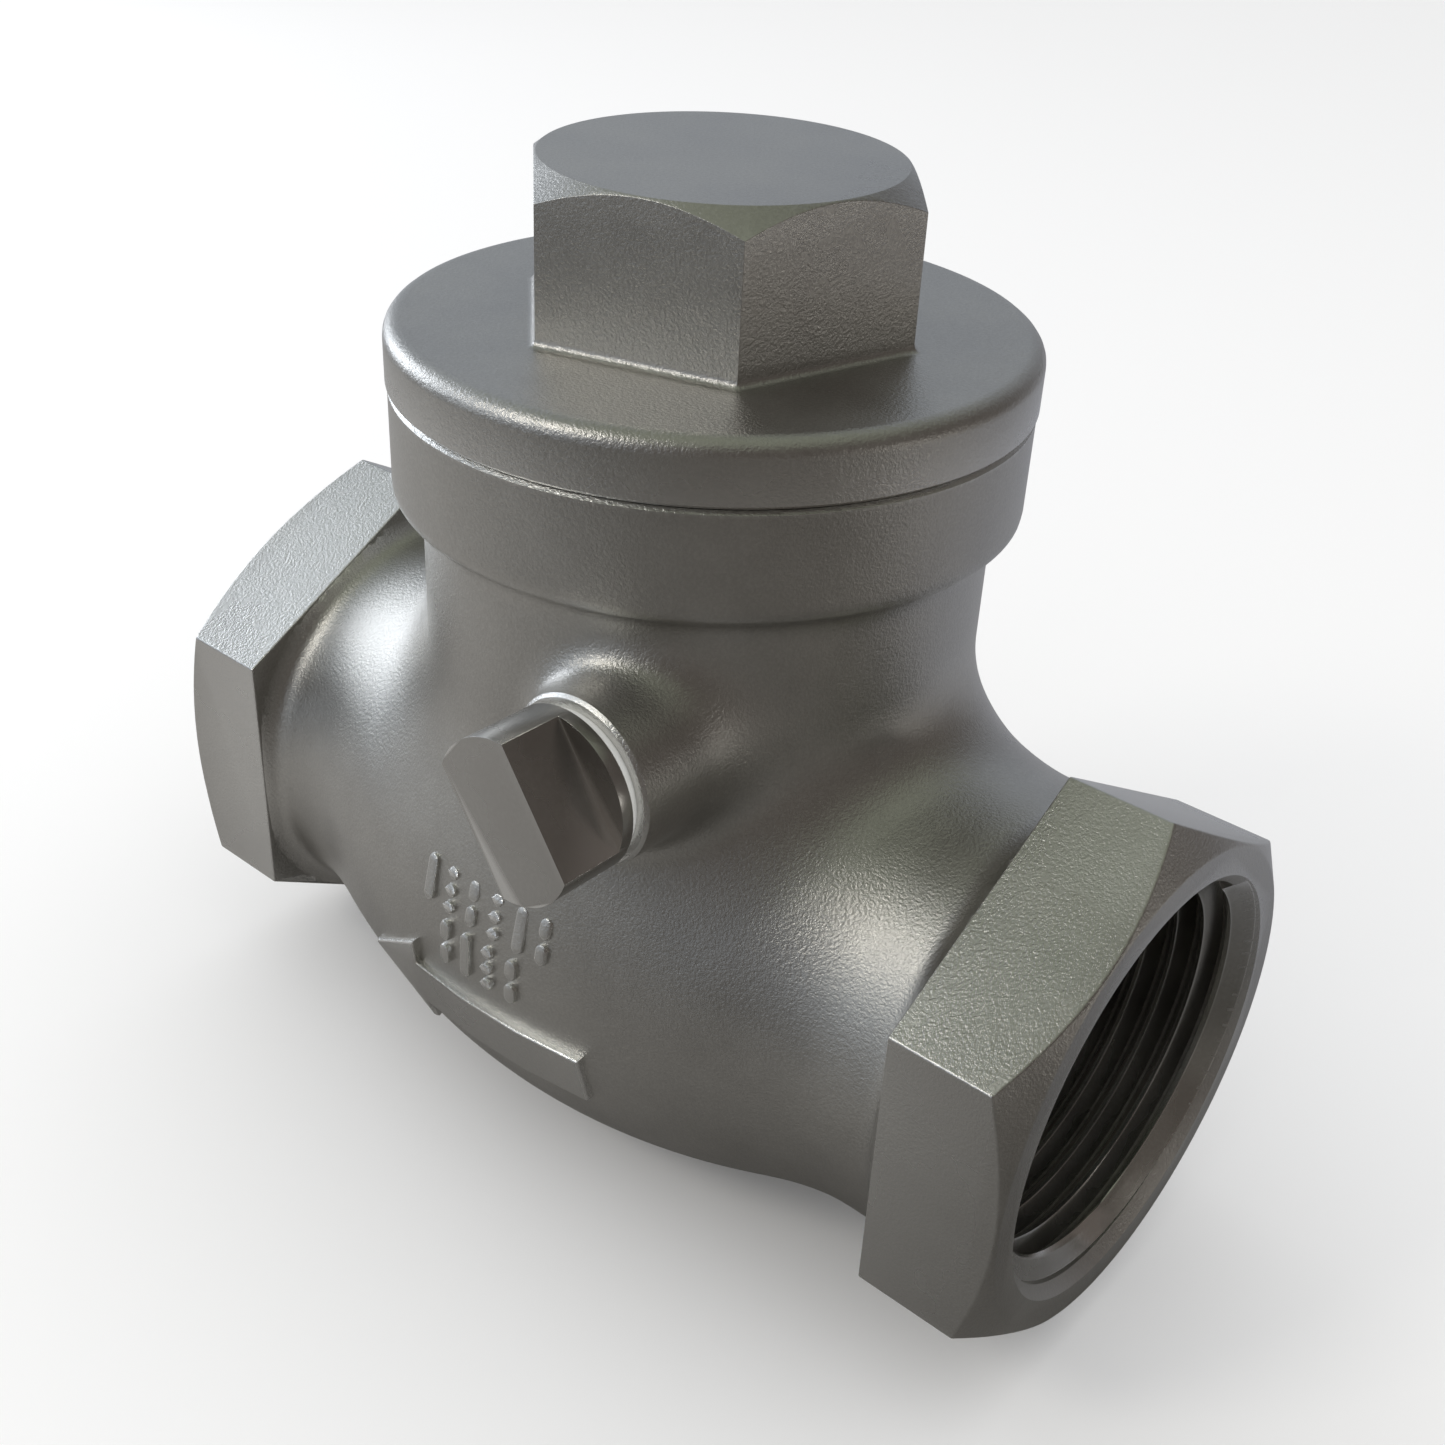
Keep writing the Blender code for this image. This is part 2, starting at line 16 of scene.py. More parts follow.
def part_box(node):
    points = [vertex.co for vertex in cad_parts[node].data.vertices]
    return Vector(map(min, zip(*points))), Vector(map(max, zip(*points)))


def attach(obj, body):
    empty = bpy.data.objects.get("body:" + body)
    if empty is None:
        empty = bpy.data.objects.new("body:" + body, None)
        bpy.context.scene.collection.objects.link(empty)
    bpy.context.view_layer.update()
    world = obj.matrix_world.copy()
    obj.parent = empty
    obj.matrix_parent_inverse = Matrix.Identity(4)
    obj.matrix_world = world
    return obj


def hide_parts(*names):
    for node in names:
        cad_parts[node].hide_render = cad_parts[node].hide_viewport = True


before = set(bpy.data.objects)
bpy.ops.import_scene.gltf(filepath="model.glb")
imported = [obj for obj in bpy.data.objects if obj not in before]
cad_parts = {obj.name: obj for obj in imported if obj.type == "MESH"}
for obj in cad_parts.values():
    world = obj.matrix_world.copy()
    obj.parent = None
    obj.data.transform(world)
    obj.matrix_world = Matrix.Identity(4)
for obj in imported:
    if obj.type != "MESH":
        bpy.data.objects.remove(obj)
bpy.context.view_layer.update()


# --- The casting ------------------------------------------------------------------------------
# The body is one lost-wax casting in stainless steel: a barrel along the pipe, a neck with a collar,
# two hexagonal ends and a boss for the pin's plug. It is bead blasted, so its skin is an even satin
# grain, and every root is a soft fillet. The faces and bores are turned.

MM = 0.001
body_low, body_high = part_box("valve_body")
pin_low, pin_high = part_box("hinge_pin")
disc_low, disc_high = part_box("disc")

face_x = body_high[0]
axis_z = (disc_low[2] + disc_high[2]) / 2
joint_z = body_high[2]
boss_face_y = body_low[1]
pin_x = (pin_low[0] + pin_high[0]) / 2
pin_z = (pin_low[2] + pin_high[2]) / 2

PIPE = Matrix.Translation((0, 0, axis_z)) @ Matrix.Rotation(math.radians(90), 4, "Y")
NECK = Matrix.Identity(4)
PIN = Matrix.Translation((pin_x, 0, pin_z)) @ Matrix.Rotation(math.radians(-90), 4, "X")

barrel_r = 24.9 * MM
barrel_centre_x = -1.5 * MM
barrel_fall = 8.2  # of the radius, per metre squared from the centre
barrel_end_r = 18.9 * MM
neck_r = 22.1 * MM
collar_r = 24.3 * MM
collar_base_z = axis_z + 34.5 * MM
boss_r = 6.5 * MM
hex_flats = 40.0 * MM
hex_length = 10.4 * MM
hex_back = face_x - hex_length

neck_fillet = 5.0 * MM
boss_fillet = 3.2 * MM
collar_fillet = 2.2 * MM
hex_fillet = 2.2 * MM


def soft_min(a, b, reach):
    """The lesser of two distances, rounded over where they are nearly equal, as a fillet is."""
    blend = np.maximum(reach - np.abs(a - b), 0) / reach
    return np.minimum(a, b) - blend * blend * reach / 4


def drum_distance(along, across, radius, low, high, edge):
    """How far points are outside a cylinder with rounded rims."""
    side = across - (radius - edge)
    end = np.abs(along - (low + high) / 2) - ((high - low) / 2 - edge)
    outside = np.hypot(np.maximum(side, 0), np.maximum(end, 0))
    return outside + np.minimum(np.maximum(side, end), 0) - edge


def barrel_distance(x, y, z):
    curve = barrel_r - barrel_fall * (x - barrel_centre_x) ** 2
    radius = -soft_min(-curve, np.full_like(x, -barrel_end_r), 2.0 * MM)
    slope = 2 * barrel_fall * (x - barrel_centre_x)
    return np.maximum((np.hypot(y, z) - radius) / np.hypot(1, slope), np.abs(x) - hex_back - 0.6 * MM)


def across_flats(y, z):
    third = math.radians(60)
    across = np.abs(y)
    for turn in (third, -third):
        across = np.maximum(across, np.abs(y * math.cos(turn) + z * math.sin(turn)))
    return across - hex_flats / 2 + 0.12 * MM


def hex_distance(x, y, z, side):
    back = hex_back + 0.05 * MM
    length = np.maximum(back - side * x, side * x - (face_x - 3 * MM))
    return np.maximum(across_flats(y, z), length)


def casting_distance(points):
    """How far points are outside the casting's skin, with all its fillets."""
    x, y, z = points[:, 0], points[:, 1], points[:, 2] - axis_z
    skin = barrel_distance(x, y, z)
    neck = drum_distance(z, np.hypot(x, y), neck_r, 0, collar_base_z - axis_z + 4 * MM, 1 * MM)
    skin = soft_min(skin, neck, neck_fillet)
    base, top = collar_base_z - axis_z, joint_z - axis_z + 3 * MM
    collar = drum_distance(z, np.hypot(x, y), collar_r, base, top, 1.0 * MM)
    skin = soft_min(skin, collar, collar_fillet)
    from_pin = np.hypot(x - pin_x, points[:, 2] - pin_z)
    front = drum_distance(y, from_pin, boss_r, boss_face_y - 3 * MM, 0, 0.5 * MM)
    skin = soft_min(skin, front, boss_fillet)
    for side in (1, -1):
        skin = soft_min(skin, hex_distance(x, y, z, side), hex_fillet)
    # The fillets behind the hexagons stay within their flats
    near_hex = np.abs(x) > hex_back - 4 * MM
    return np.where(near_hex, np.maximum(skin, across_flats(y, z)), skin)


def turned(profile, place, steps=96, ring=False):
    """A bmesh turned from (radius, height) points, about the Z axis of its place."""
    shape = bmesh.new()
    points = [shape.verts.new((radius, 0, height)) for radius, height in profile]
    pairs = list(zip(points, points[1:])) + ([(points[-1], points[0])] if ring else [])
    edges = [shape.edges.new(pair) for pair in pairs]
    bmesh.ops.spin(
        shape, geom=points + edges, cent=(0, 0, 0), axis=(0, 0, 1), angle=2 * math.pi,
        steps=steps, use_merge=True,
    )
    bmesh.ops.remove_doubles(shape, verts=shape.verts, dist=0.002 * MM)
    bmesh.ops.recalc_face_normals(shape, faces=shape.faces)
    bmesh.ops.transform(shape, matrix=place, verts=shape.verts)
    return shape


def hexagon(flats, low, high, place, corner=0.0):
    """A hexagonal bar along the Z axis of its place, with a corner at that angle from its X."""
    shape = bmesh.new()
    radius = flats / math.sqrt(3)
    bmesh.ops.create_cone(
        shape, cap_ends=True, segments=6, radius1=radius, radius2=radius, depth=high - low
    )
    spin = Matrix.Rotation(corner - math.radians(90), 4, "Z")
    lift = Matrix.Translation((0, 0, (high + low) / 2))
    bmesh.ops.transform(shape, matrix=place @ lift @ spin, verts=shape.verts)
    return shape


def box(low, high):
    """A plain box between two corners."""
    shape = bmesh.new()
    bmesh.ops.create_cube(shape, size=1)
    low, high = Vector(low), Vector(high)
    bmesh.ops.scale(shape, vec=high - low, verts=shape.verts)
    bmesh.ops.translate(shape, vec=(low + high) / 2, verts=shape.verts)
    return shape


def piece(name, shape):
    """Puts a bmesh into the scene as an object."""
    mesh = bpy.data.meshes.new(name)
    shape.to_mesh(mesh)
    shape.free()
    made = bpy.data.objects.new(name, mesh)
    bpy.context.collection.objects.link(made)
    return made


def settle(made):
    """Replaces an object's modifiers by the mesh that they make."""
    graph = bpy.context.evaluated_depsgraph_get()
    graph.update()
    mesh = bpy.data.meshes.new_from_object(made.evaluated_get(graph))
    made.modifiers.clear()
    old, made.data = made.data, mesh
    mesh.name = made.name
    bpy.data.meshes.remove(old)
    return made


def combine(made, others, operation):
    """Joins or cuts an object with others, which are used up."""
    for other in others:
        boolean = made.modifiers.new(operation, "BOOLEAN")
        boolean.operation = operation
        boolean.solver = "EXACT"
        boolean.object = other
        settle(made)
        bpy.data.objects.remove(other)
        shape = bmesh.new()
        shape.from_mesh(made.data)
        bmesh.ops.remove_doubles(shape, verts=shape.verts, dist=0.002 * MM)
        bmesh.ops.dissolve_degenerate(shape, dist=0.001 * MM, edges=shape.edges)
        shape.to_mesh(made.data)
        shape.free()
    return made


def shade(made, angle=32):
    """Shades an object smooth, except across edges sharper than an angle in degrees."""
    made.data.shade_smooth()
    made.data.set_sharp_from_angle(angle=math.radians(angle))
    flats = made.modifiers.new("flats", "WEIGHTED_NORMAL")
    flats.mode = "FACE_AREA"
    flats.keep_sharp = True
    return made


def soften_edges(made, width, segments=2, angle=30):
    """Rounds the sharp edges of an object, after it has made each of its flat sides one face."""
    shape = bmesh.new()
    shape.from_mesh(made.data)
    bmesh.ops.dissolve_limit(shape, angle_limit=math.radians(0.2), verts=shape.verts, edges=shape.edges)
    shape.to_mesh(made.data)
    shape.free()
    bevel = made.modifiers.new("edges", "BEVEL")
    bevel.width = width
    bevel.segments = segments
    bevel.limit_method = "ANGLE"
    bevel.angle_limit = math.radians(angle)
    bevel.use_clamp_overlap = True
    return settle(made)


# The skin starts as plain turned shapes, which a voxel remesh joins, and its points then settle on
# the filleted skin.
def cast_skin():
    stops = np.linspace(hex_back + 0.6 * MM, -hex_back - 0.6 * MM, 40)
    barrel = [(max(barrel_end_r, barrel_r - barrel_fall * (x - barrel_centre_x) ** 2), x) for x in stops]
    rough = piece("valve_casting", turned([(0, stops[0])] + barrel + [(0, stops[-1])], PIPE))
    parts = [
        turned([(0, joint_z + 3 * MM), (neck_r, joint_z + 3 * MM), (neck_r, axis_z), (0, axis_z)], NECK),
        turned(
            [(0, joint_z + 3 * MM), (collar_r, joint_z + 3 * MM), (collar_r, collar_base_z), (0, collar_base_z)],
            NECK,
        ),
        turned([(0, 0), (boss_r, 0), (boss_r, boss_face_y - 3 * MM), (0, boss_face_y - 3 * MM)], PIN),
        hexagon(hex_flats, hex_back, face_x - 3 * MM, PIPE),
        hexagon(hex_flats, 3 * MM - face_x, -hex_back, PIPE),
    ]
    joined = bmesh.new()
    joined.from_mesh(rough.data)
    for part in parts:
        mesh = bpy.data.meshes.new("part")
        part.to_mesh(mesh)
        part.free()
        joined.from_mesh(mesh)
        bpy.data.meshes.remove(mesh)
    joined.to_mesh(rough.data)
    joined.free()
    remesh = rough.modifiers.new("voxels", "REMESH")
    remesh.mode = "VOXEL"
    remesh.voxel_size = 0.62 * MM
    settle(rough)

    shape = bmesh.new()
    shape.from_mesh(rough.data)
    step = 0.02 * MM
    nudges = np.eye(3) * step
    for smoothing in range(5):
        bmesh.ops.smooth_vert(
            shape, verts=shape.verts, factor=0.5, use_axis_x=True, use_axis_y=True, use_axis_z=True
        )
        points = np.array([v.co for v in shape.verts], dtype=np.float64)
        for settling in range(4):
            away = casting_distance(points)
            slope = np.stack(
                [(casting_distance(points + nudge) - casting_distance(points - nudge)) for nudge in nudges],
                axis=1,
            ) / (2 * step)
            steep = np.maximum((slope * slope).sum(axis=1), 0.2)
            points -= slope * np.clip(away / steep, -MM, MM)[:, None]
        for vert, point in zip(shape.verts, points):
            vert.co = point
    shape.to_mesh(rough.data)
    shape.free()
    return rough


casting = cast_skin()

# Both ends are hexagons whose outer corners are turned down to a cone.
chamfer_r = hex_flats / 2 - 0.25 * MM
corner_r = hex_flats / math.sqrt(3) + 2 * MM
chamfer_fall = 0.62 * (corner_r - chamfer_r)


def end_hexagon(side):
    ends = sorted((side * hex_back, side * face_x))
    made = piece("end_hexagon", hexagon(hex_flats, *ends, PIPE))
    outline = [
        (0, side * face_x),
        (chamfer_r, side * face_x),
        (corner_r, side * (face_x - chamfer_fall)),
        (corner_r, 0),
        (0, 0),
    ]
    combine(made, [piece("corner_cone", turned(outline, PIPE, 128))], "INTERSECT")
    return soften_edges(made, 0.28 * MM)


combine(casting, [end_hexagon(1), end_hexagon(-1)], "UNION")

# The turned faces and the hollow: both ports with their coned mouths, the bowl behind the seat, the
# neck's bore with the gasket's recess, the pin's hole, and the small flat that the valve stands on.
thread_root_r = 16.65 * MM
thread_crest_r = 15.15 * MM
thread_pitch = 2.309 * MM
mouth_r = 17.5 * MM
port_depth = 16 * MM
passage_r = 12.5 * MM
seat_x = 12.0 * MM
seat_r = 15.2 * MM
seat_height = 1.2 * MM
bowl_end_x = -27 * MM
wall = 3 * MM
chamber_r = 18.3 * MM
recess_r = 22.3 * MM
recess_depth = 1.5 * MM
cap_thread_r = 20.2 * MM
cap_thread_base_z = axis_z + 33 * MM
chamber_floor_z = axis_z + 2 * MM
seat_wall_top_z = axis_z + 17.5 * MM
pin_r = (pin_high[0] - pin_low[0]) / 2
plug_hole_r = 5.0 * MM
past = 3 * MM


def hollow():
    shapes = []
    thread_end = face_x - port_depth
    for side, far in ((1, seat_x - past), (-1, -bowl_end_x - past)):
        outline = [
            (0, face_x + past),
            (mouth_r + past, face_x + past),
            (thread_root_r, face_x - (mouth_r - thread_root_r)),
            (thread_root_r, thread_end),
            (passage_r, thread_end - 1.2 * MM),
            (passage_r, far),
            (0, far),
        ]
        shapes.append(turned([(radius, side * x) for radius, x in outline], PIPE, 128))
    seat_back = seat_x + seat_height
    stops = np.linspace(seat_back - 2 * MM, bowl_end_x, 16)
    bowl = [(max(barrel_end_r, barrel_r - barrel_fall * (x - barrel_centre_x) ** 2) - wall, x) for x in stops]
    seat = [(0, seat_x), (seat_r, seat_x), (seat_r, seat_back), (seat_r + 2 * MM, seat_back)]
    shapes.append(turned(seat + bowl + [(0, bowl_end_x)], PIPE))
    neck_bore = piece(
        "neck_bore",
        turned(
            [
                (0, joint_z + 6 * MM),
                (collar_r + 6 * MM, joint_z + 6 * MM),
                (collar_r + 6 * MM, joint_z - 5.4 * MM),
                (collar_r - 0.3 * MM, joint_z),
                (recess_r, joint_z),
                (recess_r, joint_z - recess_depth),
                (cap_thread_r, joint_z - recess_depth),
                (cap_thread_r, cap_thread_base_z),
                (chamber_r, cap_thread_base_z - 1.5 * MM),
                (chamber_r, chamber_floor_z),
                (0, chamber_floor_z),
            ],
            NECK,
            128,
        ),
    )
    seat_wall = piece("seat_wall", box((seat_x - 0.2 * MM, -0.04, -0.04), (0.04, 0.04, seat_wall_top_z)))
    combine(neck_bore, [seat_wall], "DIFFERENCE")
    pin_hole = [
        (0, pin_high[1] + 0.3 * MM),
        (pin_r + 0.1 * MM, pin_high[1] + 0.3 * MM),
        (pin_r + 0.1 * MM, pin_low[1] + 0.5 * MM),
        (plug_hole_r, pin_low[1]),
        (plug_hole_r, boss_face_y),
        (boss_r - 0.25 * MM, boss_face_y),
        (boss_r + 2 * MM, boss_face_y + 2.25 * MM),
        (boss_r + 4 * MM, boss_face_y - 6 * MM),
        (0, boss_face_y - 6 * MM),
    ]
    shapes.append(turned(pin_hole, PIN, 64))
    shapes.append(box((-0.03, -0.03, -0.02), (0.03, 0.03, 0)))
    made = [piece("hollow", shape) for shape in shapes]
    return combine(neck_bore, made, "UNION")


combine(casting, [hollow()], "DIFFERENCE")

# Two short lugs carry the arm's hub on the inside of the neck, and end inside its wall.
lug_r = 4.6 * MM
lug_inner_y = 10.1 * MM
lug_end_r = (chamber_r + neck_r) / 2


def lug(side):
    ends = (side * neck_r, side * lug_inner_y)
    outer = [(0, ends[0]), (lug_r, ends[0]), (lug_r, ends[1]), (0, ends[1])]
    bore_r = pin_r + 0.1 * MM
    bore = [(0, side * 30 * MM), (bore_r, side * 30 * MM), (bore_r, side * 9 * MM), (0, side * 9 * MM)]
    made = piece("lug", turned(outer, PIN, 48))
    combine(made, [piece("lug_bore", turned(bore, PIN, 48))], "DIFFERENCE")
    inside = [(0, pin_z + 9 * MM), (lug_end_r, pin_z + 9 * MM), (lug_end_r, pin_z - 9 * MM), (0, pin_z - 9 * MM)]
    combine(made, [piece("neck_wall", turned(inside, NECK, 120))], "INTERSECT")
    return soften_edges(made, 0.3 * MM)


combine(casting, [lug(-1), lug(1)], "UNION")
shade(casting)


# The blasted skin: a fine even pitting over slow patches of tone, with the edges rubbed brighter.
def node_group(name, inputs, outputs):
    """An empty node group with float inputs and the outputs named, and its two end nodes."""
    group = bpy.data.node_groups.new(name, "ShaderNodeTree")
    for label, value in inputs.items():
        socket = group.interface.new_socket(label, in_out="INPUT", socket_type="NodeSocketFloat")
        socket.default_value = value
    for label in outputs:
        group.interface.new_socket(label, in_out="OUTPUT", socket_type="NodeSocketFloat")
    return group, group.nodes.new("NodeGroupInput"), group.nodes.new("NodeGroupOutput")


def maths(nodes, links, operation, first, second, clamp=False):
    """A Math node, whose inputs are sockets or plain numbers."""
    node = nodes.new("ShaderNodeMath")
    node.operation = operation
    node.use_clamp = clamp
    for socket, value in zip(node.inputs, (first, second)):
        if isinstance(value, (int, float)):
            socket.default_value = value
        else:
            links.new(value, socket)
    return node.outputs[0]


def noise(nodes, links, scale, detail=2.0, roughness=0.5):
    """A Noise node on Object coordinates. The scale is a socket or a number."""
    place = nodes.new("ShaderNodeTexCoord")
    node = nodes.new("ShaderNodeTexNoise")
    node.inputs["Detail"].default_value = detail
    node.inputs["Roughness"].default_value = roughness
    links.new(place.outputs["Object"], node.inputs["Vector"])
    if isinstance(scale, (int, float)):
        node.inputs["Scale"].default_value = scale
    else:
        links.new(scale, node.inputs["Scale"])
    return node.outputs["Fac"]


def ramp(nodes, links, source, low, high):
    """Stretches a value so that low becomes 0 and high becomes 1."""
    node = nodes.new("ShaderNodeMapRange")
    node.inputs["From Min"].default_value = low
    node.inputs["From Max"].default_value = high
    links.new(source, node.inputs["Value"])
    return node.outputs["Result"]


def blend_colour(nodes, links, factor, first, second):
    """A Mix node between two colours, which are sockets or plain colours."""
    mix = nodes.new("ShaderNodeMix")
    mix.data_type = "RGBA"
    links.new(factor, mix.inputs["Factor"])
    for socket, value in ((mix.inputs["A"], first), (mix.inputs["B"], second)):
        if isinstance(value, tuple):
            socket.default_value = (*value, 1)
        else:
            links.new(value, socket)
    return mix.outputs["Result"]


def make_blasted_grain():
    """Height of the blasted pitting, and two masks: slow patches and fine specks."""
    group, start, end = node_group(
        "blasted_grain", {"Pits per metre": 4200, "Patches per metre": 55}, ("Height", "Patches", "Specks")
    )
    nodes, links = group.nodes, group.links
    pits = noise(nodes, links, start.outputs["Pits per metre"], 3, 0.65)
    coarse = maths(nodes, links, "MULTIPLY", start.outputs["Pits per metre"], 0.35)
    dimples = noise(nodes, links, coarse, 2, 0.5)
    pits_part = maths(nodes, links, "MULTIPLY", pits, 0.85)
    dimples_part = maths(nodes, links, "MULTIPLY", dimples, 0.15)
    links.new(maths(nodes, links, "ADD", pits_part, dimples_part), end.inputs["Height"])
    patches = noise(nodes, links, start.outputs["Patches per metre"], 4, 0.6)
    links.new(ramp(nodes, links, patches, 0.33, 0.67), end.inputs["Patches"])
    links.new(ramp(nodes, links, pits, 0.42, 0.66), end.inputs["Specks"])
    return group


def make_rubbed_edges():
    """How far a point is on a convex edge, which handling has rubbed bright."""
    group, start, end = node_group("rubbed_edges", {"From": 0.52, "To": 0.6}, ("Rubbed", "Rooted"))
    nodes, links = group.nodes, group.links
    geometry = nodes.new("ShaderNodeNewGeometry")
    pointed = geometry.outputs["Pointiness"]
    node = nodes.new("ShaderNodeMapRange")
    links.new(pointed, node.inputs["Value"])
    links.new(start.outputs["From"], node.inputs["From Min"])
    links.new(start.outputs["To"], node.inputs["From Max"])
    links.new(node.outputs["Result"], end.inputs["Rubbed"])
    links.new(ramp(nodes, links, pointed, 0.49, 0.42), end.inputs["Rooted"])
    return group


blasted_grain = make_blasted_grain()
rubbed_edges = make_rubbed_edges()


def metal(name, dark, light, roughness, grain, pits=4200, patches=55, rubbed=(0.9, 0.9, 0.88)):
    """Bare metal: two tones in slow patches, a roughness that varies from low to high with them, a
    grain of that depth in metres, and rubbed edges."""
    look = bpy.data.materials.new(name)
    look.use_nodes = True
    nodes, links = look.node_tree.nodes, look.node_tree.links
    shader = nodes["Principled BSDF"]
    shader.inputs["Metallic"].default_value = 1.0
    skin = nodes.new("ShaderNodeGroup")
    skin.node_tree = blasted_grain
    skin.inputs["Pits per metre"].default_value = pits
    skin.inputs["Patches per metre"].default_value = patches
    edges = nodes.new("ShaderNodeGroup")
    edges.node_tree = rubbed_edges
    amount = maths(nodes, links, "MULTIPLY", skin.outputs["Specks"], 0.4)
    amount = maths(nodes, links, "ADD", amount, maths(nodes, links, "MULTIPLY", skin.outputs["Patches"], 0.6))
    tone = blend_colour(nodes, links, amount, dark, light)
    worn = maths(nodes, links, "MULTIPLY", edges.outputs["Rubbed"], 0.9)
    links.new(blend_colour(nodes, links, worn, tone, rubbed), shader.inputs["Base Color"])
    low, high = roughness
    rough = maths(nodes, links, "MULTIPLY", skin.outputs["Patches"], high - low)
    rough = maths(nodes, links, "ADD", rough, low)
    rubbed_off = maths(nodes, links, "MULTIPLY", edges.outputs["Rubbed"], 0.12)
    links.new(maths(nodes, links, "SUBTRACT", rough, rubbed_off, True), shader.inputs["Roughness"])
    bump = nodes.new("ShaderNodeBump")
    bump.inputs["Distance"].default_value = grain
    bump.inputs["Strength"].default_value = 1.0
    links.new(skin.outputs["Height"], bump.inputs["Height"])
    links.new(bump.outputs["Normal"], shader.inputs["Normal"])
    return look


cast_steel = metal("cast_steel", (0.43, 0.42, 0.40), (0.57, 0.56, 0.53), (0.27, 0.37), 0.07 * MM)


def dress(made, look, node, body):
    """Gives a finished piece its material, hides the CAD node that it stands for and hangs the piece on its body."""
    made.data.materials.clear()
    made.data.materials.append(look)
    if node:
        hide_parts(node)
    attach(made, body)
    return made


dress(casting, cast_steel, "valve_body", "casting")


# --- The threads in the casting ---------------------------------------------------------------
# Parallel pipe threads cut in both ports, in the neck for the cap and in the boss for the plug. The
# cut steel is bright but smeared with dark cutting oil, and the mouths' cones cut their first turns.

cut_steel = metal("cut_steel", (0.40, 0.39, 0.36), (0.54, 0.53, 0.50), (0.2, 0.3), 0.01 * MM, 3500)


def thread_coil(name, root_r, crest_r, pitch, low, high, place, steps=72):
    """One helical ridge from low to high along its axis. It stands inwards where the crest's radius
    is the smaller, and its foot is sunk into the wall behind the root."""
    depth = crest_r - root_r
    sink = -0.12 * MM if depth > 0 else 0.12 * MM
    half = 0.49 * pitch
    outline = [
        (root_r + sink, -half), (root_r, -half + 0.03 * pitch), (crest_r - 0.1 * depth, -0.11 * pitch),
        (crest_r, -0.06 * pitch), (crest_r, 0.06 * pitch), (crest_r - 0.1 * depth, 0.11 * pitch),
        (root_r, half - 0.03 * pitch), (root_r + sink, half),
    ]
    shape = bmesh.new()
    turns = (high - low) / pitch - 0.98
    points = [shape.verts.new((radius, 0, low + half + height)) for radius, height in outline]
    edges = [shape.edges.new(pair) for pair in zip(points, points[1:] + points[:1])]
    count = round(turns * steps)
    bmesh.ops.spin(
        shape, geom=points + edges, cent=(0, 0, 0), axis=(0, 0, 1), dvec=(0, 0, pitch / steps),
        angle=2 * math.pi * count / steps, steps=count,
    )
    open_edges = [edge for edge in shape.edges if edge.is_boundary]
    bmesh.ops.holes_fill(shape, edges=open_edges, sides=len(outline))
    bmesh.ops.recalc_face_normals(shape, faces=shape.faces)
    bmesh.ops.transform(shape, matrix=place, verts=shape.verts)
    return piece(name, shape)


def port_thread(name, side):
    ends = sorted((side * (face_x - 0.1 * MM), side * (face_x - port_depth + 1.2 * MM)))
    made = thread_coil(name, thread_root_r, thread_crest_r, thread_pitch, *ends, PIPE)
    for vert in made.data.vertices:
        y, z = vert.co.y, vert.co.z - axis_z
        radius = math.hypot(y, z)
        cone = mouth_r - (face_x - side * vert.co.x)
        if radius < cone:
            vert.co.y = y * cone / radius
            vert.co.z = axis_z + z * cone / radius
    return dress(shade(made, 50), cut_steel, None, "casting")


port_thread("inlet_thread", 1)
port_thread("outlet_thread", -1)
neck_thread = thread_coil(
    "neck_thread", cap_thread_r, 19.5 * MM, 1.5 * MM, cap_thread_base_z, joint_z - recess_depth, NECK
)
dress(shade(neck_thread, 50), cut_steel, None, "casting")


# --- Raised marks on the casting ----------------------------------------------------------------
# Cast into the barrel's -Y side: a block arrow along the flow, towards the outlet, and above it two
# rows of plain bars and pips where a foundry puts its size and pressure marks.

mark_height = 0.7 * MM
mark_sink = 0.5 * MM


def wrap_on_barrel(shape):
    """Bends a flat bmesh round the barrel: X stays, Y is the arc up from the -Y side, Z is outwards."""
    for vert in shape.verts:
        x, arc, out = vert.co
        radius = barrel_r - barrel_fall * (x - barrel_centre_x) ** 2
        angle = arc / radius
        vert.co = (x, -(radius + out) * math.cos(angle), axis_z + (radius + out) * math.sin(angle))


def raised(outline, bevel=0.25 * MM):
    """A flat outline raised out of the skin, with its upper edges softened."""
    shape = bmesh.new()
    face = shape.faces.new([shape.verts.new((x, y, -mark_sink)) for x, y in outline])
    lifted = bmesh.ops.extrude_face_region(shape, geom=list(shape.faces))["geom"]
    tops = [item for item in lifted if isinstance(item, bmesh.types.BMVert)]
    bmesh.ops.translate(shape, vec=(0, 0, mark_sink + mark_height), verts=tops)
    rims = {edge for vert in tops for edge in vert.link_edges if all(v.co.z > 0 for v in edge.verts)}
    bmesh.ops.bevel(
        shape, geom=list(rims), offset=bevel, segments=2, affect="EDGES", profile=0.5, material=-1
    )
    bmesh.ops.triangulate(shape, faces=[f for f in shape.faces if len(f.verts) > 4])
    bmesh.ops.recalc_face_normals(shape, faces=shape.faces)
    wrap_on_barrel(shape)
    return shape


def bar_outline(x, y, width, height):
    """A bar with round ends, standing on its middle point."""
    radius = width / 2
    arc = [math.radians(30 * i) for i in range(7)]
    top = [(x + radius * math.cos(a), y + height / 2 - radius + radius * math.sin(a)) for a in arc]
    foot = [(x - radius * math.cos(a), y - height / 2 + radius - radius * math.sin(a)) for a in arc]
    return top + foot


def join(name, shapes):
    """One object of several bmeshes."""
    whole = bmesh.new()
    for shape in shapes:
        mesh = bpy.data.meshes.new("part")
        shape.to_mesh(mesh)
        shape.free()
        whole.from_mesh(mesh)
        bpy.data.meshes.remove(mesh)
    return piece(name, whole)


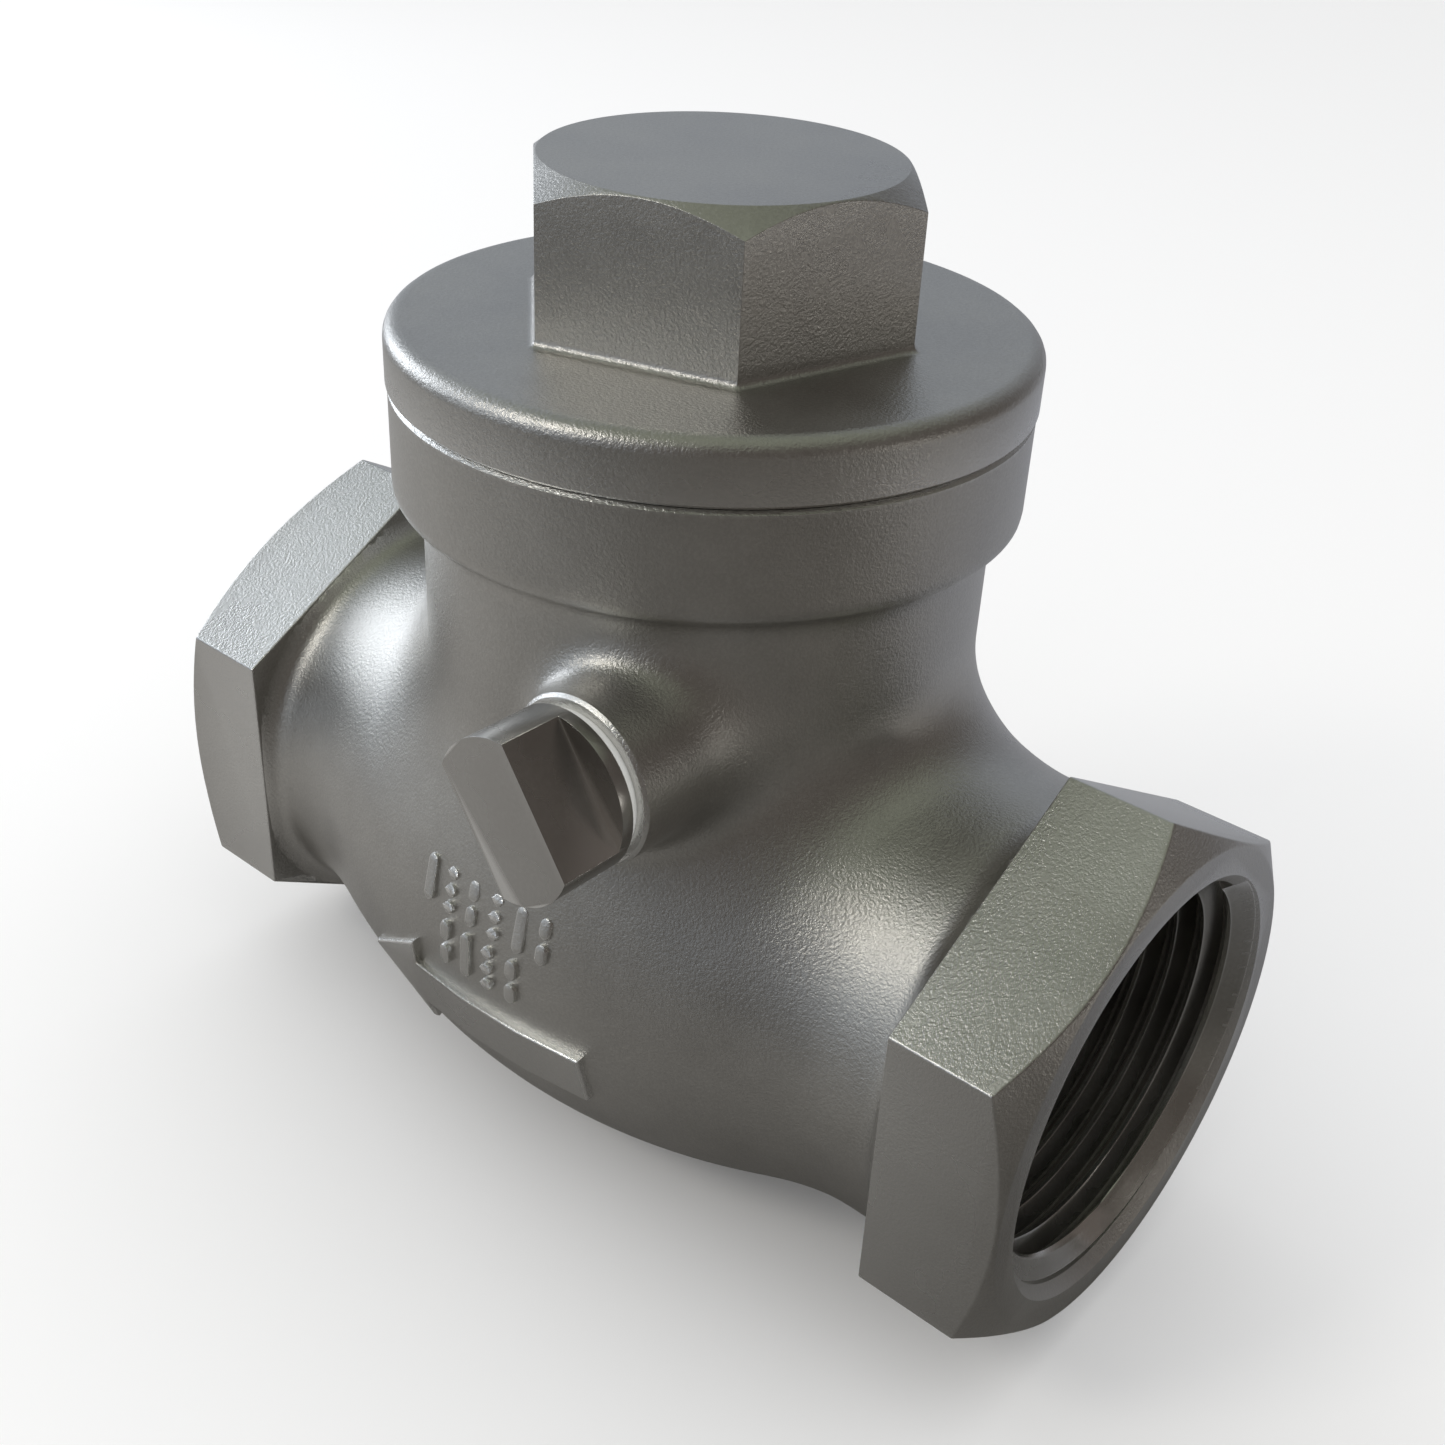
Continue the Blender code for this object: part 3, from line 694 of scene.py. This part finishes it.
upper_row_y = 6.1 * MM
lower_row_y = 1.3 * MM
mark_width = 1.15 * MM
columns = (
    (upper_row_y, -6.2, 1), (upper_row_y, -3.7, 3), (upper_row_y, -1.2, 2), (upper_row_y, 1.3, 3),
    (upper_row_y, 3.8, 1), (upper_row_y, 6.1, 2), (lower_row_y, -3.9, 2), (lower_row_y, -1.5, 1),
    (lower_row_y, 0.9, 3), (lower_row_y, 3.4, 2),
)
bars = []
for row, x, count in columns:
    length = 4.4 * MM / count - 0.35 * MM
    for index in range(count):
        y = row + (index - (count - 1) / 2) * 4.4 * MM / count
        bars.append(raised(bar_outline(x * MM, y, mark_width, max(length, mark_width))))
arrow_top, arrow_foot = -3.4 * MM, -8.4 * MM
arrow_middle = (arrow_top + arrow_foot) / 2
arrow_tail_x, arrow_neck_x, arrow_tip_x = 9.8 * MM, -8.2 * MM, -15.5 * MM
arrow_wing = 2.3 * MM
arrow = [
    (arrow_tail_x, arrow_top), (3.8 * MM, arrow_top), (-2.2 * MM, arrow_top), (arrow_neck_x, arrow_top),
    (arrow_neck_x, arrow_top + arrow_wing), (arrow_tip_x, arrow_middle),
    (arrow_neck_x, arrow_foot - arrow_wing), (arrow_neck_x, arrow_foot), (-2.2 * MM, arrow_foot),
    (3.8 * MM, arrow_foot), (arrow_tail_x, arrow_foot),
]
bars.append(raised(arrow))
marks = join("raised_marks", bars)
dress(shade(marks, 40), cast_steel, None, "casting")


# --- The cap ------------------------------------------------------------------------------------
# A second casting that screws into the neck: a hexagon on a round flange, over a hollow spigot with a
# turned thread. Its flange's rim is rounded and rubbed bright, and a small fillet runs round the foot
# of the hexagon.

cap_low, cap_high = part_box("cap")
flange_r = cap_high[0]
flange_base_z = joint_z + 0.15 * MM
flange_top_z = axis_z + 48.0 * MM
cap_hex_flats = 26.8 * MM
cap_hex_corner = math.radians(-44)
spigot_r = 19.4 * MM
spigot_root_r = 18.7 * MM
spigot_bore_r = 15.2 * MM
rim_round = 1.4 * MM
chamfer_slope = 0.77


def quarter(radius, height, size, steps=6):
    """Points of a rounded rim, from the top of a disc of that radius to its side."""
    turn = [math.radians(90 * i / steps) for i in range(steps + 1)]
    return [(radius - size + size * math.sin(a), height - size + size * math.cos(a)) for a in turn]


def cap_head():
    head = piece("head", hexagon(cap_hex_flats, flange_top_z - 2 * MM, cap_high[2], NECK, cap_hex_corner))
    flat_r = cap_hex_flats / 2 - 0.15 * MM
    far_r = flat_r + 5 * MM
    cone = [
        (0, cap_high[2]), (flat_r, cap_high[2]), (far_r, cap_high[2] - 5 * MM * chamfer_slope),
        (far_r, flange_top_z - 4 * MM), (0, flange_top_z - 4 * MM),
    ]
    combine(head, [piece("head_cone", turned(cone, NECK, 128))], "INTERSECT")
    return soften_edges(head, 0.22 * MM, 2, 15)


cap = piece(
    "screwed_cap",
    turned(
        [(0, flange_top_z)] + quarter(flange_r, flange_top_z, rim_round)
        + [
            (flange_r, flange_base_z + 0.25 * MM), (flange_r - 0.25 * MM, flange_base_z),
            (spigot_root_r, flange_base_z), (spigot_root_r, cap_low[2] + 0.8 * MM),
            (spigot_root_r - 0.8 * MM, cap_low[2]), (spigot_bore_r, cap_low[2]),
            (spigot_bore_r, flange_base_z), (spigot_bore_r - 2 * MM, flange_base_z + 1.2 * MM),
            (0, flange_base_z + 1.2 * MM),
        ],
        NECK,
        160,
    ),
)
combine(cap, [cap_head()], "UNION")


def fillet_foot(made, height, reach, size):
    """Rounds the inner corner where a head stands on a flange at that height, within reach."""
    shape = bmesh.new()
    shape.from_mesh(made.data)
    foot = [
        edge for edge in shape.edges
        if all(abs(v.co.z - height) < 0.01 * MM and v.co.xy.length < reach for v in edge.verts)
        and edge.calc_face_angle(0) > math.radians(40)
    ]
    bmesh.ops.bevel(shape, geom=foot, offset=size, segments=3, affect="EDGES", profile=0.5, material=-1)
    shape.to_mesh(made.data)
    shape.free()
    return made


fillet_foot(cap, flange_top_z, 17 * MM, 0.6 * MM)
dress(shade(cap), cast_steel, "cap", "screwed_cap")
cap_thread = thread_coil(
    "cap_thread", spigot_root_r, spigot_r, 1.5 * MM, cap_low[2] + 0.6 * MM, flange_base_z - 2.0 * MM, NECK
)
dress(shade(cap_thread, 50), cut_steel, None, "screwed_cap")


# --- The gaskets --------------------------------------------------------------------------------
# White PTFE rings, cut from sheet: one in the collar's recess under the cap, one under the plug.

ptfe = bpy.data.materials.new("ptfe")
ptfe.use_nodes = True
ptfe_nodes, ptfe_links = ptfe.node_tree.nodes, ptfe.node_tree.links
ptfe_shader = ptfe_nodes["Principled BSDF"]
ptfe_skin = ptfe_nodes.new("ShaderNodeGroup")
ptfe_skin.node_tree = blasted_grain
ptfe_skin.inputs["Pits per metre"].default_value = 1500
ptfe_skin.inputs["Patches per metre"].default_value = 220
ptfe_links.new(
    blend_colour(ptfe_nodes, ptfe_links, ptfe_skin.outputs["Patches"], (0.76, 0.76, 0.72), (0.84, 0.84, 0.82)),
    ptfe_shader.inputs["Base Color"],
)
ptfe_links.new(
    ramp(ptfe_nodes, ptfe_links, ptfe_skin.outputs["Specks"], -3.5, 4.5), ptfe_shader.inputs["Roughness"]
)


def ring(name, node, inner_r, outer_r, low, high, place, steps=96):
    made = piece(name, turned([(outer_r, high), (outer_r, low), (inner_r, low), (inner_r, high)], place, steps, True))
    return shade(soften_edges(made, 0.12 * MM))


gasket_low, gasket_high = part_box("cap_gasket")
cap_ring = ring("cap_gasket_ring", "cap_gasket", 19.5 * MM, gasket_high[0], gasket_low[2], gasket_high[2], NECK)
dress(cap_ring, ptfe, "cap_gasket", "cap_seal")
plug_seal_low, plug_seal_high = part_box("pin_plug_gasket")
plug_ring = ring(
    "plug_gasket_ring", "pin_plug_gasket", 5.0 * MM, 5.6 * MM, plug_seal_low[1], plug_seal_high[1], PIN, 64
)
dress(plug_ring, ptfe, "pin_plug_gasket", "plug_seal")


# --- The pin and its plug -----------------------------------------------------------------------
# A ground pin crosses the neck. The plug that closes its hole is turned from bar, with two flats
# milled on its head for a spanner, so it is smoother and brighter than the castings.

bar_steel = metal("bar_steel", (0.42, 0.41, 0.39), (0.50, 0.49, 0.47), (0.26, 0.34), 0.01 * MM, 3000, 90)
pin_edge = 0.4 * MM
hinge_pin = piece(
    "hinge_pin_rod",
    turned(
        [
            (0, pin_high[1]), (pin_r - pin_edge, pin_high[1]), (pin_r, pin_high[1] - pin_edge),
            (pin_r, pin_low[1] + pin_edge), (pin_r - pin_edge, pin_low[1]), (0, pin_low[1]),
        ],
        PIN, 64,
    ),
)
dress(shade(hinge_pin), bar_steel, "hinge_pin", "casting")

plug_low, plug_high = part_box("pin_plug")
plug_head_r = (plug_high[0] - plug_low[0]) / 2
plug_flats = 7.3 * MM
plug_flats_turn = math.radians(-35)
shoulder_y = plug_seal_low[1] - 0.15 * MM
shoulder = 1.2 * MM
plug_root_r = 4.25 * MM

plug = piece(
    "hinge_pin_plug",
    turned(
        [
            (0, plug_high[1]), (plug_root_r - 0.4 * MM, plug_high[1]), (plug_root_r, plug_high[1] - 0.4 * MM),
            (plug_root_r, shoulder_y), (plug_head_r - 0.2 * MM, shoulder_y),
            (plug_head_r, shoulder_y - 0.2 * MM), (plug_head_r, plug_low[1]), (0, plug_low[1]),
        ],
        PIN, 96,
    ),
)
flats = []
for turn in (plug_flats_turn, plug_flats_turn + math.pi):
    cut = box((plug_flats / 2, -8 * MM, -9 * MM), (9 * MM, 0, 9 * MM))
    place = Matrix.Translation((pin_x, shoulder_y - shoulder, pin_z)) @ Matrix.Rotation(turn, 4, "Y")
    bmesh.ops.transform(cut, matrix=place, verts=cut.verts)
    flats.append(piece("flat_cutter", cut))
combine(plug, flats, "DIFFERENCE")
soften_edges(plug, 0.3 * MM, 3, 40)
dress(shade(plug), bar_steel, "pin_plug", "plug")
plug_thread = thread_coil(
    "plug_thread", plug_root_r, 4.7 * MM, 0.907 * MM, shoulder_y + 0.9 * MM, plug_high[1] - 0.3 * MM, PIN, 48
)
dress(shade(plug_thread, 50), bar_steel, None, "plug")


# --- The arm and the disc -----------------------------------------------------------------------
# A cast arm hangs on the pin inside the neck. Its eye holds the stud of the turned disc, whose raised
# land closes on the seat, and a washer, a slotted nut and a split pin hold the stud.

arm_low, arm_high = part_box("swing_arm")
washer_low, washer_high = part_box("disc_washer")
nut_low, nut_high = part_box("disc_nut")
AXLE = Matrix.Translation((0, 0, axis_z)) @ Matrix.Rotation(math.radians(90), 4, "Y")

hub_r = (pin_x + 4.0 * MM) - pin_x
hub_half = arm_high[1]
eye_r = 6.5 * MM
eye_back_x, eye_front_x = 5.0 * MM, 8.3 * MM
stud_r = 2.4 * MM

arm = piece("cast_swing_arm", turned([(0, hub_half), (hub_r, hub_half), (hub_r, -hub_half), (0, -hub_half)], PIN))
eye = piece("eye", turned([(0, eye_front_x), (eye_r, eye_front_x), (eye_r, eye_back_x), (0, eye_back_x)], AXLE))
web_outline = bmesh.new()
web_corners = [
    web_outline.verts.new((eye_back_x + 0.4 * MM, y, z))
    for y, z in (
        (-5.2 * MM, axis_z + 1.5 * MM), (5.2 * MM, axis_z + 1.5 * MM), (4.2 * MM, axis_z + 11 * MM),
        (4.2 * MM, axis_z + 17 * MM), (6.0 * MM, pin_z + 0.8 * MM), (-6.0 * MM, pin_z + 0.8 * MM),
        (-4.2 * MM, axis_z + 17 * MM), (-4.2 * MM, axis_z + 11 * MM),
    )
]
web_face = web_outline.faces.new(web_corners)
raised_web = bmesh.ops.extrude_face_region(web_outline, geom=[web_face])["geom"]
web_depth = eye_front_x - eye_back_x - 0.7 * MM
bmesh.ops.translate(
    web_outline, vec=(web_depth, 0, 0), verts=[v for v in raised_web if isinstance(v, bmesh.types.BMVert)]
)
bmesh.ops.recalc_face_normals(web_outline, faces=web_outline.faces)
combine(arm, [eye, piece("web", web_outline)], "UNION")
hub_bore_r, eye_bore_r, reach = pin_r + 0.1 * MM, stud_r + 0.1 * MM, 12 * MM
hub_bore = turned([(0, reach), (hub_bore_r, reach), (hub_bore_r, -reach), (0, -reach)], PIN, 64)
eye_bore = turned(
    [(0, reach), (eye_bore_r, reach), (eye_bore_r, 0), (0, 0)], AXLE, 64,
)
combine(arm, [piece("hub_bore", hub_bore), piece("eye_bore", eye_bore)], "DIFFERENCE")
soften_edges(arm, 0.35 * MM, 3)
dress(shade(arm), cast_steel, "swing_arm", "arm")

disc_r = disc_high[2] - axis_z
disc_front_x, stud_end_x = disc_high[0], disc_low[0]
disc_back_x = 8.7 * MM
split_x = (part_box("disc_split_pin")[0][0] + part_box("disc_split_pin")[1][0]) / 2
clapper = piece(
    "turned_disc",
    turned(
        [
            (0, disc_front_x - 1.0 * MM), (1.4 * MM, disc_front_x - 0.8 * MM), (10.7 * MM, disc_front_x - 0.8 * MM),
            (11.5 * MM, disc_front_x), (disc_r - 0.35 * MM, disc_front_x), (disc_r, disc_front_x - 0.35 * MM),
            (disc_r, disc_back_x + 1.0 * MM), (disc_r - 0.3 * MM, disc_back_x + 0.75 * MM),
            (disc_r - 2.5 * MM, disc_back_x), (stud_r + 0.3 * MM, disc_back_x), (stud_r, disc_back_x - 0.3 * MM),
            (stud_r, stud_end_x + 0.4 * MM), (stud_r - 0.4 * MM, stud_end_x), (0, stud_end_x),
        ],
        AXLE, 128,
    ),
)
split_hole = turned(
    [(0, 5 * MM), (0.7 * MM, 5 * MM), (0.7 * MM, -5 * MM), (0, -5 * MM)], Matrix.Translation((split_x, 0, axis_z)), 24
)
combine(clapper, [piece("split_hole", split_hole)], "DIFFERENCE")
dress(shade(clapper), bar_steel, "disc", "clapper")

washer = ring("stud_washer", "disc_washer", 2.7 * MM, washer_high[1], washer_low[0], washer_high[0], AXLE, 64)
dress(washer, bar_steel, "disc_washer", "clapper")

nut_flats, crown_r = nut_high[1] - nut_low[1], 3.9 * MM
crown_x = nut_low[0] + 1.5 * MM
nut = piece("slotted_nut", hexagon(nut_flats, crown_x, nut_high[0], AXLE))
nut_cone = [
    (0, nut_high[0]), (nut_flats / 2, nut_high[0]), (nut_flats / 2 + MM, nut_high[0] - 0.58 * MM),
    (nut_flats / 2 + MM, crown_x + 0.58 * MM), (nut_flats / 2, crown_x), (0, crown_x),
]
combine(nut, [piece("nut_cone", turned(nut_cone, AXLE, 64))], "INTERSECT")
crown = [(0, crown_x + 0.5 * MM), (crown_r, crown_x + 0.5 * MM), (crown_r, nut_low[0] + 0.3 * MM),
         (crown_r - 0.3 * MM, nut_low[0]), (0, nut_low[0])]
combine(nut, [piece("crown", turned(crown, AXLE, 64))], "UNION")
nut_bore = [(0, reach), (2.7 * MM, reach), (2.7 * MM, -reach), (0, -reach)]
nut_cuts = [piece("nut_bore", turned(nut_bore, AXLE, 64))]
for slot in range(3):
    cut = box((nut_low[0] - MM, -0.8 * MM, -8 * MM), (crown_x - 0.1 * MM, 0.8 * MM, 8 * MM))
    turn = Matrix.Translation((0, 0, axis_z)) @ Matrix.Rotation(math.radians(60 * slot), 4, "X")
    bmesh.ops.transform(cut, matrix=turn, verts=cut.verts)
    nut_cuts.append(piece("nut_slot", cut))
combine(nut, nut_cuts, "DIFFERENCE")
soften_edges(nut, 0.12 * MM)
dress(shade(nut), bar_steel, "disc_nut", "clapper")

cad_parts["disc_split_pin"].data.materials.clear()
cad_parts["disc_split_pin"].data.materials.append(bar_steel)


# --- Stage, light and camera --------------------------------------------------------------------
# A plain pale floor, soft lights and the camera.

view_azimuth = math.radians(39.15)
view_elevation = math.radians(31.32)
view_roll = math.radians(3.117)
camera_place = Vector((0.081976, -0.097394, 0.090111 + axis_z))
back = Vector((
    math.sin(view_azimuth) * math.cos(view_elevation),
    -math.cos(view_azimuth) * math.cos(view_elevation),
    math.sin(view_elevation),
))
right = Vector((math.cos(view_azimuth), math.sin(view_azimuth), 0))
up = back.cross(right)
camera_x = right * math.cos(view_roll) + up * math.sin(view_roll)
camera_y = up * math.cos(view_roll) - right * math.sin(view_roll)
camera = bpy.data.objects.new("camera", bpy.data.cameras.new("camera"))
camera.data.sensor_width = 36
camera.data.lens = 43.94
camera.data.clip_start = 0.01
camera.matrix_world = Matrix.Translation(camera_place) @ Matrix((camera_x, camera_y, back)).transposed().to_4x4()
bpy.context.collection.objects.link(camera)
bpy.context.scene.camera = camera

# The floor is evenly pale to the camera. In the metal it shows a painted reflection instead: a painted pool of light
# left of the valve, darker away from it, darkest in front and brownish to the right.
floor_shape = bmesh.new()
bmesh.ops.create_grid(floor_shape, x_segments=1, y_segments=1, size=2)
floor = piece("floor", floor_shape)
floor_look = bpy.data.materials.new("floor")
floor_look.use_nodes = True
floor_nodes, floor_links = floor_look.node_tree.nodes, floor_look.node_tree.links
floor_nodes["Principled BSDF"].inputs["Roughness"].default_value = 0.7
floor_place = floor_nodes.new("ShaderNodeTexCoord")
# Distance from the centre of the painted pool of light on the floor, left of the valve
painted_pool_distance = floor_nodes.new("ShaderNodeVectorMath")
painted_pool_distance.operation = "DISTANCE"
painted_pool_distance.inputs[1].default_value = (-0.14, -0.03, 0)
floor_links.new(floor_place.outputs["Object"], painted_pool_distance.inputs[0])

floor_split = floor_nodes.new("ShaderNodeSeparateXYZ")
floor_links.new(floor_place.outputs["Object"], floor_split.inputs["Vector"])
floor_right = ramp(floor_nodes, floor_links, floor_split.outputs["X"], 0.08, 0.2)
floor_behind = blend_colour(floor_nodes, floor_links, floor_right, (0.36, 0.37, 0.41), (0.18, 0.16, 0.145))
floor_front = blend_colour(floor_nodes, floor_links, floor_right, (0.08, 0.075, 0.068), (0.17, 0.155, 0.14))
floor_far = blend_colour(
    floor_nodes, floor_links, ramp(floor_nodes, floor_links, floor_split.outputs["Y"], 0.0, 0.08),
    floor_front, floor_behind,
)
# Painted reflection: a painted pool of light near that centre, fading into the darker painted shade further out; only
# reflections see it
painted_reflection = blend_colour(
    floor_nodes, floor_links, ramp(floor_nodes, floor_links, painted_pool_distance.outputs["Value"], 0.06, 0.23),
    (0.38, 0.37, 0.36), floor_far,
)
floor_ray = floor_nodes.new("ShaderNodeLightPath").outputs["Is Glossy Ray"]
floor_colour = blend_colour(floor_nodes, floor_links, floor_ray, (0.9, 0.9, 0.9), painted_reflection)
floor_links.new(floor_colour, floor_nodes["Principled BSDF"].inputs["Base Color"])
floor.data.materials.append(floor_look)

# The room: white to light the floor, and in the metal a pale left side, a dark right side and a dim
# ceiling.
world = bpy.data.worlds.new("studio")
world.use_nodes = True
sky_nodes, sky_links = world.node_tree.nodes, world.node_tree.links
split = sky_nodes.new("ShaderNodeSeparateXYZ")
sky_links.new(sky_nodes.new("ShaderNodeTexCoord").outputs["Generated"], split.inputs["Vector"])
wall_left = blend_colour(
    sky_nodes, sky_links, ramp(sky_nodes, sky_links, split.outputs["Y"], -0.1, 0.7),
    (0.56, 0.61, 0.68), (0.40, 0.43, 0.48),
)
walls = blend_colour(
    sky_nodes, sky_links, ramp(sky_nodes, sky_links, split.outputs["X"], -0.45, 0.4), wall_left, (0.10, 0.085, 0.075)
)
room = blend_colour(
    sky_nodes, sky_links, ramp(sky_nodes, sky_links, split.outputs["Z"], 0.63, 0.88), walls, (0.27, 0.29, 0.23)
)
sky_ray = sky_nodes.new("ShaderNodeLightPath").outputs["Is Glossy Ray"]
sky_links.new(
    blend_colour(sky_nodes, sky_links, sky_ray, (1.0, 1.0, 1.0), room), sky_nodes["Background"].inputs["Color"]
)
sky_nodes["Background"].inputs["Strength"].default_value = 1.0
bpy.context.scene.world = world
bpy.context.scene.view_settings.view_transform = "Standard"


def softbox(name, place, target, size, power, colour):
    light = bpy.data.lights.new(name, "AREA")
    light.shape = "RECTANGLE"
    light.size, light.size_y = size
    light.energy = power
    light.color = colour
    made = bpy.data.objects.new(name, light)
    made.location = place
    made.rotation_euler = (Vector(target) - Vector(place)).to_track_quat("-Z", "Y").to_euler()
    bpy.context.collection.objects.link(made)


softbox("window", (-0.62, -0.03, 0.19), (0, 0, 0.04), (0.3, 0.26), 0.85, (0.88, 0.93, 1))
softbox("lamp", (-0.15, -0.35, 0.36), (0, 0, 0.04), (0.11, 0.11), 0.35, (1, 0.96, 0.88))
softbox("side_lamp", (0.5, 0.17, 0.03), (0.045, 0, 0.024), (0.05, 0.05), 0.05, (1, 0.98, 0.92))
